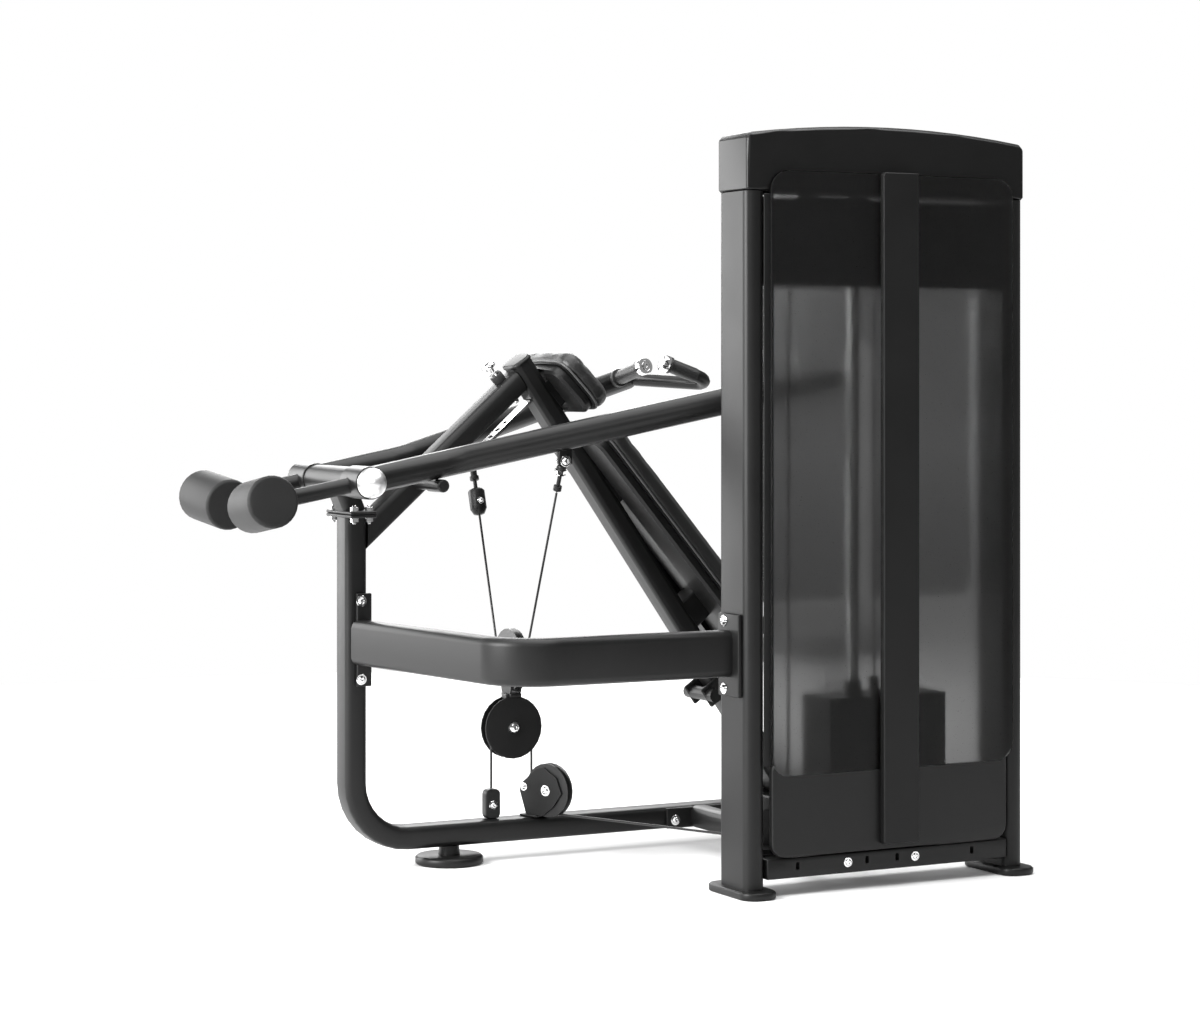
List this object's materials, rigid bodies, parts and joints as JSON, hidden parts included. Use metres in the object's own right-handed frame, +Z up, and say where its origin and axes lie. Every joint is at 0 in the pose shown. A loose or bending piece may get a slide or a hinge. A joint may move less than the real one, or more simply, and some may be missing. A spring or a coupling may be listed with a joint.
{
  "type": "incline chest press machine",
  "caption": "Selectorised incline chest press: pivoting press arms on a post, padded backrest and seat, cable pulleys and a smoked weight tower.",
  "frame": {"origin": "middle of the footprint, on the floor", "axes": "+X is the way the user faces, +Y points away from the weight tower, +Z is up"},
  "size_m": [1.7224, 1.2276, 1.59],
  "materials": {
    "rear_frame": "semi-matt black powder coat",
    "rear_foot": "matt black rubber",
    "base_front": "semi-matt black powder coat",
    "base_link": "semi-matt black powder coat",
    "mid_brace": "semi-matt black powder coat",
    "pivot_head": "semi-matt black powder coat",
    "incline_brace": "semi-matt black powder coat",
    "tower_column_left": "matt black powder coat",
    "tower_column_right": "matt black powder coat",
    "tower_crossbar": "matt black powder coat",
    "tower_cap": "matt black powder coat",
    "rear_window": "smoked frosted plastic",
    "lower_panel": "matt black powder coat",
    "centre_strip": "matt black powder coat",
    "inner_head": "matt black powder coat",
    "front_shield": "smoked frosted plastic",
    "guide_rod_left": "polished chrome",
    "guide_rod_right": "polished chrome",
    "stack_base": "matt black powder coat",
    "stack_resting": "blackened plates",
    "cable_main": "black plastic sheath",
    "cable_anchor": "brushed",
    "fixed_bracket": "brushed",
    "seat_sleeve": "semi-matt black powder coat",
    "press_arm_near": "semi-matt black powder coat",
    "counterweight_near": "matt black rubber",
    "pivot_cap_near": "polished chrome",
    "grip_across_near": "matt black rubber",
    "grip_along_near": "matt black rubber",
    "press_arm_far": "semi-matt black powder coat",
    "counterweight_far": "matt black rubber",
    "pivot_cap_far": "polished chrome",
    "grip_across_far": "matt black rubber",
    "grip_along_far": "matt black rubber",
    "cable_link_near": "matt black plastic",
    "cable_upper_near": "black plastic sheath",
    "cable_link_far": "matt black plastic",
    "cable_upper_far": "black plastic sheath",
    "pulley_block": "brushed",
    "cable_over_block": "black plastic sheath",
    "cable_under_equaliser": "black plastic sheath",
    "cable_run_left": "black plastic sheath",
    "cable_run_right": "black plastic sheath",
    "equaliser_pulley": "matt black plastic",
    "floating_pulley": "matt black plastic",
    "fixed_pulley": "matt black plastic",
    "tower_pulley_low": "matt black plastic",
    "tower_pulley_left": "matt black plastic",
    "tower_pulley_right": "matt black plastic",
    "stack_lifted": "blackened plates",
    "cable_stack": "black plastic sheath",
    "selector_pin": "matt black rubber",
    "pad_rail": "semi-matt black powder coat",
    "headrest": "black vinyl upholstery",
    "back_pad": "black vinyl upholstery",
    "adjuster_strip": "polished chrome",
    "pull_pin": "polished chrome",
    "seat_post": "brushed",
    "seat_pad": "black vinyl upholstery"
  },
  "bodies": {
    "frame": {"rear_frame": "rear_frame", "rear_foot": "rear_foot", "base_front": "base_front", "base_link": "base_link", "mid_brace": "mid_brace", "pivot_head": "pivot_head", "incline_brace": "incline_brace", "tower_column_left": "tower_column_left", "tower_column_right": "tower_column_right", "tower_crossbar": "tower_crossbar", "tower_cap": "tower_cap", "rear_window": "rear_window", "lower_panel": "lower_panel", "centre_strip": "centre_strip", "inner_head": "inner_head", "front_shield": "front_shield", "guide_rod_left": "guide_rod_left", "guide_rod_right": "guide_rod_right", "stack_base": "stack_base", "stack_resting": "stack_resting", "cable_main": "cable_main", "cable_anchor": "cable_anchor", "fixed_bracket": "fixed_bracket", "seat_sleeve": "seat_sleeve"},
    "arm_near": {"press_arm_near": "press_arm_near", "counterweight_near": "counterweight_near", "pivot_cap_near": "pivot_cap_near", "grip_across_near": "grip_across_near", "grip_along_near": "grip_along_near"},
    "arm_far": {"press_arm_far": "press_arm_far", "counterweight_far": "counterweight_far", "pivot_cap_far": "pivot_cap_far", "grip_across_far": "grip_across_far", "grip_along_far": "grip_along_far"},
    "link_near": {"cable_link_near": "cable_link_near", "cable_upper_near": "cable_upper_near"},
    "link_far": {"cable_link_far": "cable_link_far", "cable_upper_far": "cable_upper_far"},
    "moving_block": {"pulley_block": "pulley_block", "cable_over_block": "cable_over_block", "cable_under_equaliser": "cable_under_equaliser", "cable_run_left": "cable_run_left", "cable_run_right": "cable_run_right"},
    "equaliser": {"equaliser_pulley": "equaliser_pulley"},
    "floating_pulley": {"floating_pulley": "floating_pulley"},
    "fixed_pulley": {"fixed_pulley": "fixed_pulley"},
    "tower_pulley_low": {"tower_pulley_low": "tower_pulley_low"},
    "tower_pulley_left": {"tower_pulley_left": "tower_pulley_left"},
    "tower_pulley_right": {"tower_pulley_right": "tower_pulley_right"},
    "stack": {"stack_lifted": "stack_lifted", "cable_stack": "cable_stack"},
    "selector": {"selector_pin": "selector_pin"},
    "backrest": {"pad_rail": "pad_rail", "headrest": "headrest", "back_pad": "back_pad", "adjuster_strip": "adjuster_strip"},
    "pin": {"pull_pin": "pull_pin"},
    "seat": {"seat_post": "seat_post", "seat_pad": "seat_pad"}
  },
  "joints": [
    {"name": "arm_near_lift", "type": "hinge", "parent": "frame", "child": "arm_near", "pos_m": [-0.58081, 0.10818, 0.845], "axis": [0, -1, 0], "range_deg": [0, 25]},
    {"name": "arm_far_lift", "type": "hinge", "parent": "frame", "child": "arm_far", "pos_m": [-0.58081, 0.10818, 0.845], "axis": [0, -1, 0], "range_deg": [0, 25.5]},
    {"name": "link_near_tilt", "type": "hinge", "parent": "arm_near", "child": "link_near", "pos_m": [-0.14933, -0.12247, 0.88693], "axis": [0, -1, 0], "range_deg": [-17.89, 0], "deforming": ["cable_upper_near"]},
    {"name": "link_far_tilt", "type": "hinge", "parent": "arm_far", "child": "link_far", "pos_m": [-0.14933, 0.33883, 0.88693], "axis": [0, -1, 0], "range_deg": [-17.89, 0], "deforming": ["cable_upper_far"]},
    {"name": "block_rise", "type": "slide", "parent": "frame", "child": "moving_block", "axis": [0, 0, 1], "range_m": [0, 0.1845], "deforming": ["cable_run_left", "cable_run_right"]},
    {"name": "equaliser_turn", "type": "hinge", "parent": "moving_block", "child": "equaliser", "pos_m": [-0.15981, 0.10818, 0.44], "axis": [1, 0, 0], "range_deg": [-60, 60]},
    {"name": "floating_pulley_turn", "type": "hinge", "parent": "moving_block", "child": "floating_pulley", "pos_m": [-0.15981, 0.10818, 0.291], "axis": [0, 1, 0], "range_deg": [-212.66, 0]},
    {"name": "fixed_pulley_turn", "type": "hinge", "parent": "frame", "child": "fixed_pulley", "pos_m": [-0.08899, 0.06121, 0.152], "axis": [-0.912, -0.4101, 0], "range_deg": [-410.45, 0]},
    {"name": "tower_pulley_low_turn", "type": "hinge", "parent": "frame", "child": "tower_pulley_low", "pos_m": [0.15679, -0.48534, 0.1405], "axis": [-0.912, -0.4101, 0], "range_deg": [-528.45, 0]},
    {"name": "tower_pulley_left_turn", "type": "hinge", "parent": "frame", "child": "tower_pulley_left", "pos_m": [0.21819, -0.52182, 1.395], "axis": [0, 1, 0], "range_deg": [-469.73, 0]},
    {"name": "tower_pulley_right_turn", "type": "hinge", "parent": "frame", "child": "tower_pulley_right", "pos_m": [0.34019, -0.52182, 1.395], "axis": [0, 1, 0], "range_deg": [-469.73, 0]},
    {"name": "stack_rise", "type": "slide", "parent": "frame", "child": "stack", "axis": [0, 0, 1], "range_m": [0, 0.3689], "deforming": ["cable_stack"]},
    {"name": "selector_pull", "type": "slide", "parent": "stack", "child": "selector", "axis": [0, 1, 0], "range_m": [0, 0.055]},
    {"name": "backrest_tilt", "type": "hinge", "parent": "frame", "child": "backrest", "pos_m": [0.53246, 0.10818, 0.128], "axis": [0, 1, 0], "range_deg": [0, 4]},
    {"name": "pin_pull", "type": "slide", "parent": "frame", "child": "pin", "axis": [-0.6639, 0, 0.7478], "range_m": [0, 0.012], "stiffness_N_per_m": 400},
    {"name": "seat_height", "type": "slide", "parent": "frame", "child": "seat", "axis": [0, 0, 1], "range_m": [0, 0.1]}
  ],
  "couplings": [
    {"joint": "arm_far_lift", "follows": "arm_near_lift", "ratio": 1},
    {"joint": "link_near_tilt", "follows": "arm_near_lift", "ratio": -0.70144},
    {"joint": "link_far_tilt", "follows": "arm_near_lift", "ratio": -0.70144},
    {"joint": "block_rise", "follows": "arm_near_lift", "m_per_rad": 0.41447},
    {"joint": "floating_pulley_turn", "follows": "arm_near_lift", "ratio": -8.3394},
    {"joint": "fixed_pulley_turn", "follows": "arm_near_lift", "ratio": -16.096},
    {"joint": "tower_pulley_low_turn", "follows": "arm_near_lift", "ratio": -20.723},
    {"joint": "tower_pulley_left_turn", "follows": "arm_near_lift", "ratio": -18.421},
    {"joint": "tower_pulley_right_turn", "follows": "arm_near_lift", "ratio": -18.421},
    {"joint": "stack_rise", "follows": "arm_near_lift", "m_per_rad": 0.82894}
  ]
}
